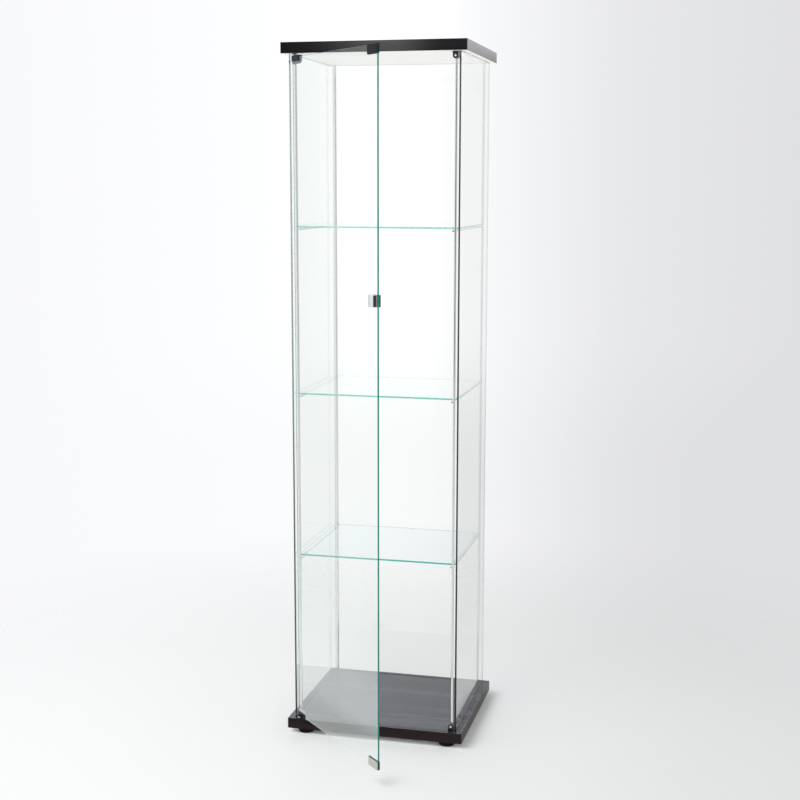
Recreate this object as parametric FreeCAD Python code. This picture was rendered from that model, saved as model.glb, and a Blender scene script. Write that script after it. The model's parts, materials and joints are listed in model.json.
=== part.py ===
# Tall glass display case: two laminated boards, three fixed glass panels, three glass
# shelves on two metal side frames, and a frameless glass door on pivot hinges.
# Frame: the origin is on the floor under the middle of the boards, +X to the right seen
# from the front, +Y to the back, +Z up. The front is -Y. All sizes are in millimetres.
import math
import os

import FreeCAD
import Part
from FreeCAD import Vector

# Boards and feet
case_width = 430.0
case_depth = 370.0
case_height = 1636.0
board_thickness = 25.0
foot_height = 12.0
foot_diameter = 38.0
foot_edge_radius = 3.0
foot_web = 4.0              # plastic between the screw head and the board
foot_side_inset = 40.0      # side of the boards to the axis of a foot
foot_setback = 24.0         # front or back of the boards to the axis of a foot
foot_screw_grip = 15.0      # foot screw inside the board

# Fixed glass panels, each held in a lined groove of both boards
panel_thickness = 4.0
side_inset = 15.5           # side of the boards to the outer face of a side panel
front_inset = 13.0          # front of the boards to the front edges of the side panels
rear_inset = 11.0           # back of the boards to the outer face of the back panel
groove_depth = 8.0
strip_wall = 0.8            # wall of the rubber strip that lines a groove
panel_top_play = 2.0        # free height over a panel, inside its upper strip
groove_end_play = 0.3       # free length at each end of a groove
corner_play = 0.2           # side strip to the end of the back panel

# Side frames: two posts and three rungs on each side
post_diameter = 6.0
post_side_gap = 6.5         # inner face of a side panel to the post
post_setback = 27.0         # front or back of the boards to the axis of a post
rung_diameter = 4.0
thread_wall = 1.0           # wall of a post around its threaded end
thread_length = 12.0        # screw inside the post
thread_spare = 2.0          # thread past the end of the screw

# Shelves
shelf_count = 3
shelf_thickness = 4.0
lower_bay = 401.0           # clear height under the lowest shelf, the others are equal
shelf_side_gap = 5.5        # inner face of a side panel to the shelf
shelf_post_gap = 1.5        # post to the edge of the shelf
shelf_corner_radius = 3.0
pad_thickness = 2.0         # clear pad between rung and shelf
pad_length = 12.0
pad_cheek = 1.5             # pad material on each side of the rung
pad_setback = 30.0          # axis of a post to the middle of a pad

# Screws of the posts
screw_head_diameter = 8.0
screw_head_height = 3.0
screw_socket = 2.5          # across the flats
cap_thickness = 2.4
cap_air = 0.6               # screw head to the cap over it
head_play = 1.0             # around a screw head in its recess
head_sink = 0.5             # underside of the bottom board to a screw head

# Door, drawn shut and then turned about its pins to the angle it stands at
door_thickness = 4.0
door_setback = 8.0          # front of the boards to the outer face of the shut door
door_side_gap = 5.0         # inner face of a side panel to the edge of the shut door
door_angle = 45.0
pin_inset = 5.5             # edge of the door glass to the axis of the pins
pin_diameter = 6.0
pin_grip = 8.0              # pin inside the hinge clip
pin_depth = 10.0            # pin inside the board

# Hinge clips, which hold a corner of the door in a soft pad
clip_length = 37.0
clip_height = 13.0
clip_wall = 2.5
clip_floor = 2.0
clip_end = 1.0              # clip past the edge of the glass
clip_corner_radius = 3.0
clip_head = 5.0             # axis of the pin to the end of the solid head
hinge_pad_wall = 1.0
hinge_pad_rim = 6.0         # pad past the edge of the clip
hinge_pad_radius = 10.0
notch_gap = 0.5             # head of the clip to the cut corner of the glass
upper_gap = 4.5             # upper clip to the top board
hinge_screw_diameter = 4.0
hinge_screw_socket = 2.0

# Bushes and washer of the pins
bush_wall = 1.5
bush_flange_width = 1.5
bush_flange = 1.0
bush_depth = 12.0
washer_thickness = 2.4
washer_play = 0.1

# Strike clips at the free corners of the door
strike_length = 40.0
strike_height = 18.0
strike_wall = 1.0
strike_liner = 0.5
strike_lip = 1.5            # liner past the edge of the clip

# Magnet catches, each a collar on a front post
catch_width = 13.0
catch_height = 16.5
catch_back = 3.5            # collar behind the post
magnet_diameter = 5.0
magnet_length = 5.0
magnet_proud = 0.4
catch_gap = 0.3             # magnet to the strike clip of the shut door

# Door handle, a grip and a plate that a screw clamps to the glass
handle_height = 26.0
handle_width = 30.0
handle_proud = 12.0
handle_plate_width = 20.0
handle_plate_thickness = 5.0
handle_plate_radius = 2.0
handle_liner = 0.5
handle_drop = 525.0         # top edge of the door glass to the middle of the handle
handle_hole = 6.0           # through the glass
handle_screw_diameter = 4.0
handle_screw_grip = 6.0     # screw inside the grip
handle_head_diameter = 7.0
handle_head_height = 2.5
handle_screw_socket = 2.5

# Fits
running_play = 0.05         # pin in its bush, all around
press_play = 0.02           # piece pressed into its hole, all around
screw_play = 0.2            # screw through a board or foot, all around

# Levels and faces worked out from the sizes above
base_top = foot_height + board_thickness
top_bottom = case_height - board_thickness
half_width = case_width / 2
half_depth = case_depth / 2
side_outer = half_width - side_inset
side_inner = side_outer - panel_thickness
panel_front = -half_depth + front_inset
panel_rear = half_depth - rear_inset
back_inner = panel_rear - panel_thickness
panel_low = base_top - groove_depth + strip_wall
panel_high = top_bottom + groove_depth - strip_wall - panel_top_play
back_half = side_inner - strip_wall - corner_play
post_radius = post_diameter / 2
post_x = side_inner - post_side_gap - post_radius
post_y = half_depth - post_setback
foot_x = half_width - foot_side_inset
foot_y = half_depth - foot_setback
rung_radius = rung_diameter / 2
rung_x = post_x - post_radius - rung_radius
thread_radius = post_radius - thread_wall
upper_bay = (top_bottom - base_top - lower_bay - shelf_count * shelf_thickness) / shelf_count
shelf_levels = [base_top + lower_bay + i * (upper_bay + shelf_thickness) for i in range(shelf_count)]

# Door faces when shut
pin_radius = pin_diameter / 2
door_outer = -half_depth + door_setback
door_inner = door_outer + door_thickness
door_middle = door_outer + door_thickness / 2
door_edge = side_inner - door_side_gap
axis_x = -door_edge + pin_inset
clip_out = hinge_pad_wall + clip_floor
door_low = base_top + bush_flange + washer_thickness + washer_play + clip_out
door_high = top_bottom - upper_gap - clip_out
clip_half = door_thickness / 2 + hinge_pad_wall + clip_wall
pad_half = door_thickness / 2 + hinge_pad_wall
clip_left = -door_edge - clip_end
clip_right = clip_left + clip_length
head_right = axis_x + clip_head
magnet_face = door_inner + strike_liner + strike_wall + catch_gap
handle_middle = door_high - handle_drop

SIDES = {"left": -1, "right": 1}
ROWS = {"front": -1, "rear": 1}
SHELF_NAMES = ["lower", "middle", "upper"]

# The two ends of the door: height of the glass edge and the way into the glass
DOOR_ENDS = {"lower": (door_low, 1), "upper": (door_high, -1)}
# The two boards: height of the inner face and the way into the case
BOARD_FACES = {"lower": (base_top, 1), "upper": (top_bottom, -1)}


def span(start, way, near, far):
    """Low and high end of a stretch measured from a level, one way or the other."""
    return sorted((start + way * near, start + way * far))


def box(x, y, z):
    """Block between three pairs of faces."""
    return Part.makeBox(x[1] - x[0], y[1] - y[0], z[1] - z[0], Vector(x[0], y[0], z[0]))


def upright(x, y, z, radius):
    """Round bar along Z."""
    return Part.makeCylinder(radius, z[1] - z[0], Vector(x, y, z[0]), Vector(0, 0, 1))


def lying(x, y, z, radius):
    """Round bar along Y."""
    return Part.makeCylinder(radius, y[1] - y[0], Vector(x, y[0], z), Vector(0, 1, 0))


def round_uprights(shape, radius):
    """The same block with its upright edges rounded."""
    edges = [e for e in shape.Edges if abs(e.tangentAt(e.FirstParameter).z) > 0.9]
    return shape.makeFillet(radius, edges)


def hex_socket(centre, direction, across, depth):
    """Six-sided hole of a socket screw."""
    rim = Part.Circle(centre, direction, across / math.sqrt(3))
    corners = [rim.value(math.radians(60 * i)) for i in range(6)]
    return Part.Face(Part.makePolygon(corners + corners[:1])).extrude(direction * depth)


def corner_places(x, y):
    """Name, X and Y of four like pieces, one near each corner."""
    return [(f"{row}_{side}", SIDES[side] * x, ROWS[row] * y) for row in ROWS for side in SIDES]


def post_places():
    return corner_places(post_x, post_y)


def foot_places():
    return corner_places(foot_x, foot_y)


def panel_grooves(z):
    """Room for the three strips that hold the panels, between two levels."""
    end = strip_wall + groove_end_play
    room = []
    for side in SIDES.values():
        x = span(0, side, side_inner - strip_wall, side_outer + strip_wall)
        room.append(box(x, (panel_front - end, panel_rear + end), z))
    room.append(box((-side_inner, side_inner), (back_inner - strip_wall, panel_rear + strip_wall), z))
    return room


def bush_room(face, way):
    """Hole of a board for a pivot bush."""
    return upright(axis_x, door_middle, span(face, way, -bush_depth, 0), bush_radius() + press_play)


def bush_radius():
    return pin_radius + running_play + bush_wall


def base_board():
    """Bottom board with grooves, screw holes and the seat of the lower bush."""
    body = box((-half_width, half_width), (-half_depth, half_depth), (foot_height, base_top))
    cuts = panel_grooves((base_top - groove_depth, base_top))
    for _, x, y in post_places():
        cuts.append(upright(x, y, (foot_height, base_top), thread_radius + screw_play))
        cuts.append(upright(x, y, (foot_height, base_screw_seat()), screw_head_diameter / 2 + head_play))
    for _, x, y in foot_places():
        pilot = (foot_height, foot_height + foot_screw_grip + thread_spare)
        cuts.append(upright(x, y, pilot, thread_radius + press_play))
    cuts.append(bush_room(base_top, 1))
    return body.cut(cuts)


def top_board():
    """Top board, with recesses for the screw heads and their caps on its upper side."""
    body = box((-half_width, half_width), (-half_depth, half_depth), (top_bottom, case_height))
    cuts = panel_grooves((top_bottom, top_bottom + groove_depth))
    for _, x, y in post_places():
        cuts.append(upright(x, y, (top_bottom, case_height), thread_radius + screw_play))
        cuts.append(upright(x, y, (top_screw_seat(), case_height), cap_radius() + press_play))
    cuts.append(bush_room(top_bottom, -1))
    return body.cut(cuts)


def base_screw_seat():
    return foot_height + head_sink + screw_head_height


def cap_radius():
    return screw_head_diameter / 2 + head_play


def top_screw_seat():
    return case_height - cap_thickness - cap_air - screw_head_height


def side_panel(side):
    """Fixed side glass."""
    x = span(0, side, side_inner, side_outer)
    return box(x, (panel_front, panel_rear), (panel_low, panel_high))


def back_panel():
    """Fixed back glass, between the side panels."""
    return box((-back_half, back_half), (back_inner, panel_rear), (panel_low, panel_high))


def side_strip(side, face, way):
    """Rubber channel around the lower or upper edge of a side panel."""
    z = span(face, way, -groove_depth, 0)
    hollow = span(face, way, strip_wall - groove_depth, 0)
    y = (panel_front, panel_rear)
    outer = box(span(0, side, side_inner - strip_wall, side_outer + strip_wall), y, z)
    return outer.cut(box(span(0, side, side_inner, side_outer), y, hollow))


def back_strip(face, way):
    """Rubber channel around the lower or upper edge of the back panel."""
    z = span(face, way, -groove_depth, 0)
    hollow = span(face, way, strip_wall - groove_depth, 0)
    x = (-back_half, back_half)
    outer = box(x, (back_inner - strip_wall, panel_rear + strip_wall), z)
    return outer.cut(box(x, (back_inner, panel_rear), hollow))


def post(x, y):
    """Metal post with a threaded hole in both ends."""
    body = upright(x, y, (base_top, top_bottom), post_radius)
    hole = thread_length + thread_spare
    for face, way in BOARD_FACES.values():
        body = body.cut(upright(x, y, span(face, way, 0, hole), thread_radius + running_play))
    return body


def rung(side, level):
    """Wire along the inner side of two posts, under a shelf."""
    end = post_y + post_radius
    return lying(side * rung_x, (-end, end), rung_height(level), rung_radius)


def rung_height(level):
    return level - pad_thickness - rung_radius


def shelf_pad(side, row, level):
    """Clear saddle on a rung that a shelf lies on."""
    x, y, z = side * rung_x, row * (post_y - pad_setback), rung_height(level)
    reach = rung_radius + pad_cheek
    along = (y - pad_length / 2, y + pad_length / 2)
    body = box((x - reach, x + reach), along, (z - rung_radius / 2, level))
    return body.cut(lying(x, (y - pad_length, y + pad_length), z, rung_radius + running_play))


def shelf(level):
    """Glass shelf between the posts."""
    x = side_inner - shelf_side_gap
    y = post_y - post_radius - shelf_post_gap
    plate = box((-x, x), (-y, y), (level, level + shelf_thickness))
    return round_uprights(plate, shelf_corner_radius)


def foot(x, y):
    """Round plastic foot with a rounded lower edge and a recess for the screw head."""
    body = upright(x, y, (0, foot_height), foot_diameter / 2)
    lower_edge = [e for e in body.Edges if e.Closed and abs(e.CenterOfMass.z) < running_play]
    body = body.makeFillet(foot_edge_radius, lower_edge)
    seat = foot_height - foot_web
    body = body.cut(upright(x, y, (0, seat), screw_head_diameter / 2 + head_play))
    return body.cut(upright(x, y, (seat, foot_height), thread_radius + screw_play))


def socket_screw(x, y, seat, way, length):
    """Screw with its head behind the seat and its thread ahead of it."""
    head = upright(x, y, span(seat, way, -screw_head_height, 0), screw_head_diameter / 2)
    thread = upright(x, y, span(seat, way, 0, length), thread_radius)
    mouth = Vector(x, y, seat - way * screw_head_height)
    hole = hex_socket(mouth, Vector(0, 0, way), screw_socket, screw_head_height / 2)
    return head.fuse(thread).removeSplitter().cut(hole)


def foot_screw(x, y):
    """Screw through a foot into the bottom board."""
    return socket_screw(x, y, foot_height - foot_web, 1, foot_web + foot_screw_grip)


def base_screw(x, y):
    """Screw through the bottom board into a post, with its head sunk into the underside."""
    seat = base_screw_seat()
    return socket_screw(x, y, seat, 1, base_top + thread_length - seat)


def top_screw(x, y):
    """Screw through the top board into a post."""
    seat = top_screw_seat()
    return socket_screw(x, y, seat, -1, seat - top_bottom + thread_length)


def screw_cap(x, y):
    """Plastic cap over a screw in the top board."""
    return upright(x, y, (case_height - cap_thickness, case_height), cap_radius())


def pivot_bush(face, way):
    """Plastic bush in a board, with a flange on the board's inner face."""
    outer = upright(axis_x, door_middle, span(face, way, -bush_depth, 0), bush_radius())
    flange = upright(axis_x, door_middle, span(face, way, 0, bush_flange), flange_radius())
    through = span(face, way, -bush_depth, bush_flange)
    bore = upright(axis_x, door_middle, through, pin_radius + running_play)
    return outer.fuse(flange).removeSplitter().cut(bore)


def flange_radius():
    return bush_radius() + bush_flange_width


def hinge_washer():
    """Washer on the lower bush, which carries the door."""
    z = span(base_top, 1, bush_flange, bush_flange + washer_thickness)
    ring = upright(axis_x, door_middle, z, flange_radius())
    return ring.cut(upright(axis_x, door_middle, z, pin_radius + running_play))


def catch(face, way):
    """Collar on the right front post, with a round end that faces the door."""
    radius = catch_width / 2
    x = (post_x - radius, post_x + radius)
    y = (magnet_face + magnet_proud, post_radius + catch_back - post_y)
    centre = face + way * (catch_height - radius)
    body = box(x, y, span(face, way, 0, catch_height - radius))
    body = body.fuse(lying(post_x, y, centre, radius)).removeSplitter()
    through = span(face, way, 0, catch_height)
    body = body.cut(upright(post_x, -post_y, through, post_radius + running_play))
    pocket = (y[0], magnet_face + magnet_length)
    return body.cut(lying(post_x, pocket, centre, magnet_diameter / 2 + press_play))


def magnet(face, way):
    """Plated magnet pressed into the front of a catch."""
    centre = face + way * (catch_height - catch_width / 2)
    return lying(post_x, (magnet_face, magnet_face + magnet_length), centre, magnet_diameter / 2)


def door_glass():
    """Door glass with both corners on the hinge side cut away, and a hole for the handle screw."""
    glass = box((-door_edge, door_edge), (door_outer, door_inner), (door_low, door_high))
    for edge, way in DOOR_ENDS.values():
        x = (-door_edge, head_right + notch_gap)
        z = span(edge, way, 0, clip_height - clip_out + notch_gap)
        glass = glass.cut(box(x, (door_outer, door_inner), z))
    return glass.cut(handle_bore((door_outer, door_inner), handle_hole / 2))


def hinge_clip(edge, way):
    """Metal clip on a corner of the door: a solid head for the pin and a slot for glass and pad."""
    y = (door_middle - clip_half, door_middle + clip_half)
    body = box((clip_left, clip_right), y, span(edge, way, -clip_out, clip_height - clip_out))
    body = round_uprights(body, clip_corner_radius)
    slot_y = (door_middle - pad_half, door_middle + pad_half)
    slot_z = span(edge, way, -hinge_pad_wall, clip_height - clip_out)
    body = body.cut(box((head_right, clip_right), slot_y, slot_z))
    seat = span(edge, way, -clip_out, pin_grip - clip_out)
    body = body.cut(upright(axis_x, door_middle, seat, pin_radius + press_play))
    hole = hinge_screw_diameter / 2 + press_play
    return body.cut(lying(hinge_screw_x(), hinge_screw_y(), hinge_screw_z(edge, way), hole))


def hinge_screw_x():
    return (head_right + clip_right) / 2


def hinge_screw_y():
    return (door_middle + pad_half, door_middle + clip_half)


def hinge_screw_z(edge, way):
    return edge + way * (clip_height - clip_out - hinge_pad_wall) / 2


def hinge_screw(edge, way):
    """Set screw in the inner wall of a hinge clip."""
    y = hinge_screw_y()
    z = hinge_screw_z(edge, way)
    body = lying(hinge_screw_x(), y, z, hinge_screw_diameter / 2)
    mouth = Vector(hinge_screw_x(), y[1], z)
    return body.cut(hex_socket(mouth, Vector(0, -1, 0), hinge_screw_socket, clip_wall / 2))


def hinge_pad(edge, way):
    """Soft pad around the glass in a hinge clip, with a rounded rim that shows past the clip."""
    inner = clip_height - clip_out
    x = (-door_edge, clip_right + hinge_pad_rim)
    y = (door_middle - pad_half, door_middle + pad_half)
    body = box(x, y, span(edge, way, -hinge_pad_wall, inner + hinge_pad_rim))
    far_corner = [e for e in body.Edges if is_pad_corner(e, x[1], edge + way * (inner + hinge_pad_rim))]
    body = body.makeFillet(hinge_pad_radius, far_corner)
    body = body.cut(box((x[0], head_right), y, span(edge, way, -hinge_pad_wall, inner)))
    return body.cut(box(x, (door_outer, door_inner), span(edge, way, 0, inner + hinge_pad_rim)))


def is_pad_corner(edge, x, z):
    """True for the edge of a pad that lies along Y at the given corner."""
    middle = edge.CenterOfMass
    return abs(middle.x - x) < running_play and abs(middle.z - z) < running_play


def hinge_pin(edge, way, face):
    """Steel pin from the head of a hinge clip into the bush of a board."""
    z = span(0, way, way * face - pin_depth, way * edge - clip_out + pin_grip)
    return upright(axis_x, door_middle, z, pin_radius)


def strike_clip(edge, way):
    """Folded steel channel over a free corner of the door, which the magnet holds."""
    out = strike_liner + strike_wall
    half = door_thickness / 2 + out
    x = (door_edge - strike_length, door_edge)
    shell = box(x, (door_middle - half, door_middle + half), span(edge, way, -out, strike_height))
    inside = half - strike_wall
    hollow_z = span(edge, way, -strike_liner, strike_height)
    return shell.cut(box(x, (door_middle - inside, door_middle + inside), hollow_z))


def strike_pad(edge, way):
    """Rubber liner between a strike clip and the glass."""
    half = door_thickness / 2 + strike_liner
    x = (door_edge - strike_length, door_edge)
    z = span(edge, way, -strike_liner, strike_height + strike_lip)
    shell = box(x, (door_middle - half, door_middle + half), z)
    glass_z = span(edge, way, 0, strike_height + strike_lip)
    return shell.cut(box(x, (door_outer, door_inner), glass_z))


def handle_levels():
    return span(handle_middle, 1, -handle_height / 2, handle_height / 2)


def handle_bore(y, radius):
    """Room for the handle screw between two depths."""
    return lying(door_edge - handle_plate_width / 2, y, handle_middle, radius)


def door_handle():
    """Polished half-round grip on the outer face of the door, flush with its free edge."""
    z = handle_levels()
    left = door_edge - handle_width
    front = door_outer - handle_liner
    crown = Vector((left + door_edge) / 2, door_outer - handle_proud, z[0])
    ends = (Vector(left, front, z[0]), Vector(door_edge, front, z[0]))
    front_edge = Part.Arc(ends[0], crown, ends[1]).toShape()
    outline = Part.Wire([front_edge, Part.LineSegment(ends[1], ends[0]).toShape()])
    grip = Part.Face(outline).extrude(Vector(0, 0, handle_height))
    return grip.cut(handle_bore((front - handle_screw_grip, front), handle_screw_diameter / 2 + press_play))


def handle_plate():
    """Metal plate on the inner face of the door, behind the grip."""
    back = door_inner + handle_liner
    y = (back, back + handle_plate_thickness)
    plate = box((door_edge - handle_plate_width, door_edge), y, handle_levels())
    plate = round_uprights(plate, handle_plate_radius)
    return plate.cut(handle_bore(y, handle_screw_diameter / 2 + screw_play))


def handle_pads():
    """Thin liners between the glass and the two halves of the handle."""
    pads = []
    for width, face, way in ((handle_width, door_outer, -1), (handle_plate_width, door_inner, 1)):
        y = span(face, way, 0, handle_liner)
        pad = box((door_edge - width, door_edge), y, handle_levels())
        pads.append(pad.cut(handle_bore(y, handle_hole / 2)))
    return Part.makeCompound(pads)


def handle_screw():
    """Screw from the back through the plate and the glass into the grip."""
    seat = door_inner + handle_liner + handle_plate_thickness
    end = seat + handle_head_height
    tip = door_outer - handle_liner - handle_screw_grip
    head = handle_bore((seat, end), handle_head_diameter / 2)
    body = head.fuse(handle_bore((tip, seat), handle_screw_diameter / 2)).removeSplitter()
    mouth = Vector(door_edge - handle_plate_width / 2, end, handle_middle)
    return body.cut(hex_socket(mouth, Vector(0, -1, 0), handle_screw_socket, handle_head_height / 2))


def opened(shape):
    """A piece of the door, turned from shut to the angle it stands at."""
    turned = shape.copy()
    turned.rotate(Vector(axis_x, door_middle, 0), Vector(0, 0, 1), -door_angle)
    return turned


def case_pieces():
    """Every piece that stands still, by name."""
    pieces = {"base_board": base_board(), "top_board": top_board(), "back_glass": back_panel()}
    for name, side in SIDES.items():
        pieces[f"{name}_glass"] = side_panel(side)
    for end, (face, way) in BOARD_FACES.items():
        pieces[f"back_strip_{end}"] = back_strip(face, way)
        for name, side in SIDES.items():
            pieces[f"{name}_strip_{end}"] = side_strip(side, face, way)
        pieces[f"pivot_bush_{end}"] = pivot_bush(face, way)
        pieces[f"catch_{end}"] = catch(face, way)
        pieces[f"magnet_{end}"] = magnet(face, way)
    pieces["hinge_washer"] = hinge_washer()
    for place, x, y in post_places():
        pieces[f"post_{place}"] = post(x, y)
    for place, x, y in foot_places():
        pieces[f"foot_{place}"] = foot(x, y)
    for name, level in zip(SHELF_NAMES, shelf_levels):
        pieces[f"shelf_{name}"] = shelf(level)
        for side in SIDES:
            pieces[f"rung_{name}_{side}"] = rung(SIDES[side], level)
    pads = [shelf_pad(s, r, level) for level in shelf_levels for s in SIDES.values() for r in ROWS.values()]
    pieces["shelf_pads"] = Part.makeCompound(pads)
    pieces["foot_screws"] = Part.makeCompound([foot_screw(x, y) for _, x, y in foot_places()])
    pieces["base_screws"] = Part.makeCompound([base_screw(x, y) for _, x, y in post_places()])
    pieces["top_screws"] = Part.makeCompound([top_screw(x, y) for _, x, y in post_places()])
    pieces["screw_caps"] = Part.makeCompound([screw_cap(x, y) for _, x, y in post_places()])
    return pieces


def door_pieces():
    """Every piece that swings with the door, by name, at the angle the door stands at."""
    pieces = {"door_glass": door_glass()}
    for end, (edge, way) in DOOR_ENDS.items():
        pieces[f"hinge_clip_{end}"] = hinge_clip(edge, way)
        pieces[f"hinge_pad_{end}"] = hinge_pad(edge, way)
        pieces[f"hinge_pin_{end}"] = hinge_pin(edge, way, BOARD_FACES[end][0])
        pieces[f"strike_clip_{end}"] = strike_clip(edge, way)
        pieces[f"strike_pad_{end}"] = strike_pad(edge, way)
    pieces["hinge_screws"] = Part.makeCompound([hinge_screw(edge, way) for edge, way in DOOR_ENDS.values()])
    pieces["door_handle"] = door_handle()
    pieces["handle_plate"] = handle_plate()
    pieces["handle_pads"] = handle_pads()
    pieces["handle_screw"] = handle_screw()
    return {name: opened(shape) for name, shape in pieces.items()}


os.makedirs("parts", exist_ok=True)
for node, solid in {**case_pieces(), **door_pieces()}.items():
    solid.exportStep(f"parts/{node}.step")
    print(node, len(solid.Solids), "solid", round(solid.Volume / 1000, 2), "cm3")
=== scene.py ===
# %% [markdown]
# # A tall glass display case
#
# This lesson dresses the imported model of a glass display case: two dark boards, three fixed
# panes, three glass shelves on thin metal frames, and a frameless door that stands partly open.
# The model comes in as a fixed frame, with an object for each piece of the real case, or for
# each set of small equal ones. Each step takes one kind of piece, says how it is made, and
# gives it a shape and a finish.

# %% Load the frame
import json
import math

import bmesh
import bpy
from mathutils import Matrix, Vector

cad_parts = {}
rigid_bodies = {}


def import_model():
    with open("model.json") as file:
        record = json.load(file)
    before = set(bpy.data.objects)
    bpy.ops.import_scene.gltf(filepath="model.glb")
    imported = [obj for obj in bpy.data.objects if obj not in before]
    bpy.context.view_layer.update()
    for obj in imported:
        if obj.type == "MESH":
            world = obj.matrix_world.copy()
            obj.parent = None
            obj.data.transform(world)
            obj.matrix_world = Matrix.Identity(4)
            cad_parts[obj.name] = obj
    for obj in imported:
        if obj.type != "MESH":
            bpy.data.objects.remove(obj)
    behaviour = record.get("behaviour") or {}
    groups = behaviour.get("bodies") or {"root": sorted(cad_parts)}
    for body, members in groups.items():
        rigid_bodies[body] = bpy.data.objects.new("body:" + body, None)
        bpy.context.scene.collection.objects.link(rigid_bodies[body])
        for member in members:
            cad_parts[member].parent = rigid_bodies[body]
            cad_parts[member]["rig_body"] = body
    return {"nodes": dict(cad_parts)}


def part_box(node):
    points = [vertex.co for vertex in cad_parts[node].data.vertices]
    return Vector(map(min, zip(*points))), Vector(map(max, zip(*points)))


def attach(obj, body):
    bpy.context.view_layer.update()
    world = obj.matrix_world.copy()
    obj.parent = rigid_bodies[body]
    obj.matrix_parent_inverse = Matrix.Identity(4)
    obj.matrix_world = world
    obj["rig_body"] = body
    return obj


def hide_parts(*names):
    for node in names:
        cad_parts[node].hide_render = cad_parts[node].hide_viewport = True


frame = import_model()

scene = bpy.context.scene
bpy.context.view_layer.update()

# %% [markdown]
# ## Camera
#
# A camera can be turned by eye until the picture looks right, or worked out from the corners
# of something square. The boards of the case are square, so the second way was taken: the
# place, the three turns and the lens below put their corners where the photograph has them.

# %% Camera
PICTURE = 800
SENSOR = 36.0
focal_pixels = 1398.7
picture_middle = (407.3, 399.2)
camera_place = (0.8257, -3.2674, 1.3272)
pan_left = math.radians(13.568)
tilt_down = math.radians(8.867)
roll_left = math.radians(0.135)

lens = bpy.data.cameras.new("camera")
lens.sensor_width = SENSOR
lens.lens = focal_pixels / PICTURE * SENSOR
lens.shift_x = (PICTURE / 2 - picture_middle[0]) / PICTURE
lens.shift_y = (picture_middle[1] - PICTURE / 2) / PICTURE
camera = bpy.data.objects.new("camera", lens)
scene.collection.objects.link(camera)
scene.camera = camera
stand = Matrix.Translation(camera_place)
pan = Matrix.Rotation(pan_left, 4, "Z")
tilt = Matrix.Rotation(math.radians(90) - tilt_down, 4, "X")
roll = Matrix.Rotation(roll_left, 4, "Z")
camera.matrix_world = stand @ pan @ tilt @ roll
print("lens:", round(lens.lens, 1), "mm")

# %% [markdown]
# ## Light paths
#
# A pane seen at a slant sends a ray back and forth many times between its two faces, and a
# ray that runs out of bounces ends in black. The limits are therefore raised well above
# Blender's own. The Standard view shows colours about as they are written.

# %% Light paths
BOUNCES = 40

scene.view_settings.view_transform = "Standard"
scene.cycles.max_bounces = BOUNCES
scene.cycles.glossy_bounces = BOUNCES
scene.cycles.transmission_bounces = BOUNCES
scene.cycles.transparent_max_bounces = BOUNCES
print("bounces:", BOUNCES)


# %% [markdown]
# ## Node helpers
#
# Every finish in this lesson is a small tree of nodes. Adding them one by one takes a line
# for each socket, so one helper adds a node, sets its values and plugs in what feeds it. The
# others are short names for the nodes that come up again and again.

# %% Node helpers
def add(tree, kind, feeds=None, **settings):
    """A new node: settings are its own, feeds are sockets by name, each a value or an output."""
    new = tree.nodes.new(kind)
    for key, value in settings.items():
        setattr(new, key, value)
    for socket, value in (feeds or {}).items():
        if isinstance(value, bpy.types.NodeSocket):
            tree.links.new(value, new.inputs[socket])
        else:
            new.inputs[socket].default_value = value
    return new


def maths(tree, operation, first, second, **settings):
    """Two numbers put together by an operation of the Math node."""
    feeds = {0: first, 1: second}
    return add(tree, "ShaderNodeMath", feeds, operation=operation, **settings).outputs[0]


def spread(tree, amount, start, full, low, high, **settings):
    """A number that goes from low to high as another one goes from start to full."""
    span = {"Value": amount, "From Min": start, "From Max": full, "To Min": low, "To Max": high}
    return add(tree, "ShaderNodeMapRange", span, **settings).outputs[0]


def soft_spread(tree, amount, start, full, low=0.0, high=1.0):
    """The same with an eased start and end."""
    return spread(tree, amount, start, full, low, high, interpolation_type="SMOOTHSTEP")


def colour_mix(tree, share, first, second, **settings):
    """A colour that goes from the first to the second as a share goes from 0 to 1."""
    feeds = {0: share, 6: first, 7: second}
    return add(tree, "ShaderNodeMix", feeds, data_type="RGBA", **settings).outputs[2]


def shader_mix(tree, share, first, second):
    """The same with two shaders."""
    return add(tree, "ShaderNodeMixShader", {0: share, 1: first, 2: second}).outputs[0]


print("node helpers ready")

# %% [markdown]
# ## Studio levels
#
# Glass and chrome have hardly any colour of their own: they show the room. An even white
# world would leave them without form, so this one is a small studio, written as levels of
# light by compass angle: 0 looks to the right of the case, 90 behind it and -90 behind the
# camera. A white backdrop stands behind the case. The left side is pale, the right side is
# grey with a dark gap and ends in a bright strip, and the room behind the camera is dark but
# for the glow of a window high up. Four rings of levels lie one over the other: the floor,
# what stands along the horizon, the upper end of the walls, and the ceiling.

# %% Studio levels
backdrop = [(87, 0.74), (94.9, 0.807), (98.9, 0.905), (101.3, 0.97), (102, 1.06), (104.2, 1.06),
            (104.8, 1.13), (106, 1.13), (108.4, 1.0), (119, 0.95)]
far_floor = [(87, 0.70), (94.9, 0.775), (98.9, 0.87), (101.3, 0.93), (103, 0.98), (106, 0.98),
             (108.4, 0.97), (119, 0.95)]
near_floor = [(-180, 0.92), (-100, 0.88), (-60, 0.8), (20, 0.6), (60, 0.45)]
left_room = [(-180, 0.8), (-160, 1.0), (-113, 1.0)]
dark_room = [(-107, 0.05), (-64, 0.05)]
right_room = [(-56, 0.4), (-24, 0.4), (-19, 0.08), (-6, 0.08), (0, 0.7), (68, 0.7)]
bright_strip = [(76, 0.9), (82, 0.9)]
left_wall = [(152, 0.8), (158, 0.92), (169, 0.92), (175, 0.8), (180, 0.8)]
upper_room = [(-180, 0.8), (-128, 1.0), (-121, 0.05)]
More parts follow.
